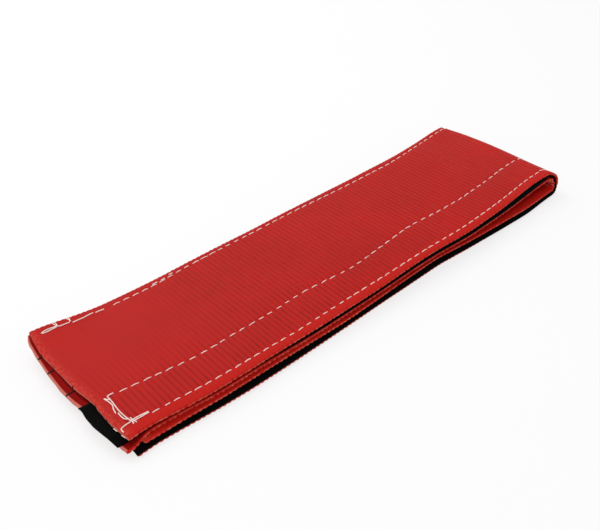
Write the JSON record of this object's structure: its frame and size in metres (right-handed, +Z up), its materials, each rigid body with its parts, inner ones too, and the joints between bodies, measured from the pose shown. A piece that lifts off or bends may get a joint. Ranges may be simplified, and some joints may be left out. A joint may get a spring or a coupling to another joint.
{
  "type": "webbing wear sleeve",
  "caption": "Flat wear sleeve of coated webbing for a lifting sling, sewn along one long edge, closed by hook and loop along the other, folded end to end.",
  "frame": {"origin": "centre of the base, under the middle of the folded sleeve", "axes": "+X along the sleeve towards the fold, +Y across it towards the sewn edge, +Z up"},
  "size_m": [0.515, 0.1562, 0.024],
  "materials": {
    "coated_webbing": "coated, semi-gloss",
    "hook_tape": "matte, hooked",
    "loop_tape": "matte, looped",
    "sewing_thread": "twisted thread"
  },
  "bodies": {
    "lower_outer": {"outer_panel_lower": "coated_webbing", "hook_strip_lower": "hook_tape", "edge_seam_thread_lower": "sewing_thread", "hook_stitching_lower": "sewing_thread"},
    "lower_inner": {"outer_panel_fold_lower": "coated_webbing", "hook_strip_fold_lower": "hook_tape", "edge_seam_thread_fold_lower": "sewing_thread", "hook_stitching_fold_lower_near": "sewing_thread", "hook_stitching_fold_lower_far": "sewing_thread", "inner_panel_lower": "coated_webbing", "loop_strip_lower": "loop_tape", "edge_seam_back_thread_lower": "sewing_thread", "loop_stitching_lower": "sewing_thread"},
    "fold_link": {"outer_panel_fold_middle": "coated_webbing", "hook_strip_fold_middle": "hook_tape", "edge_seam_thread_fold_middle": "sewing_thread", "hook_stitching_fold_middle_near": "sewing_thread", "hook_stitching_fold_middle_far": "sewing_thread", "inner_panel_fold_middle": "coated_webbing", "loop_strip_fold_middle": "loop_tape", "edge_seam_back_thread_fold_middle": "sewing_thread", "loop_stitching_fold_middle_near": "sewing_thread", "loop_stitching_fold_middle_far": "sewing_thread"},
    "upper_inner": {"outer_panel_fold_upper": "coated_webbing", "hook_strip_fold_upper": "hook_tape", "edge_seam_thread_fold_upper": "sewing_thread", "hook_stitching_fold_upper_near": "sewing_thread", "hook_stitching_fold_upper_far": "sewing_thread", "inner_panel_upper": "coated_webbing", "loop_strip_upper": "loop_tape", "edge_seam_back_thread_upper": "sewing_thread", "loop_stitching_upper": "sewing_thread"},
    "upper_outer": {"outer_panel_upper": "coated_webbing", "hook_strip_upper": "hook_tape", "edge_seam_thread_upper": "sewing_thread", "hook_stitching_upper": "sewing_thread"}
  },
  "joints": [
    {"name": "closure_lower", "type": "hinge", "parent": "lower_outer", "child": "lower_inner", "pos_m": [0, 0.07806, 0.00245], "axis": [-1, 0, 0], "range_deg": [0, 90]},
    {"name": "fold_lower", "type": "hinge", "parent": "lower_inner", "child": "fold_link", "pos_m": [0.2575, 0, 0], "axis": [0, 1, 0], "range_deg": [0, 90]},
    {"name": "fold_upper", "type": "hinge", "parent": "fold_link", "child": "upper_inner", "pos_m": [0.2575, 0, 0.024], "axis": [0, 1, 0], "range_deg": [0, 90]},
    {"name": "closure_upper", "type": "hinge", "parent": "upper_inner", "child": "upper_outer", "pos_m": [0, 0.07806, 0.00925], "axis": [-1, 0, 0], "range_deg": [0, 85]}
  ],
  "couplings": [
    {"joint": "fold_upper", "follows": "fold_lower", "ratio": 1}
  ]
}
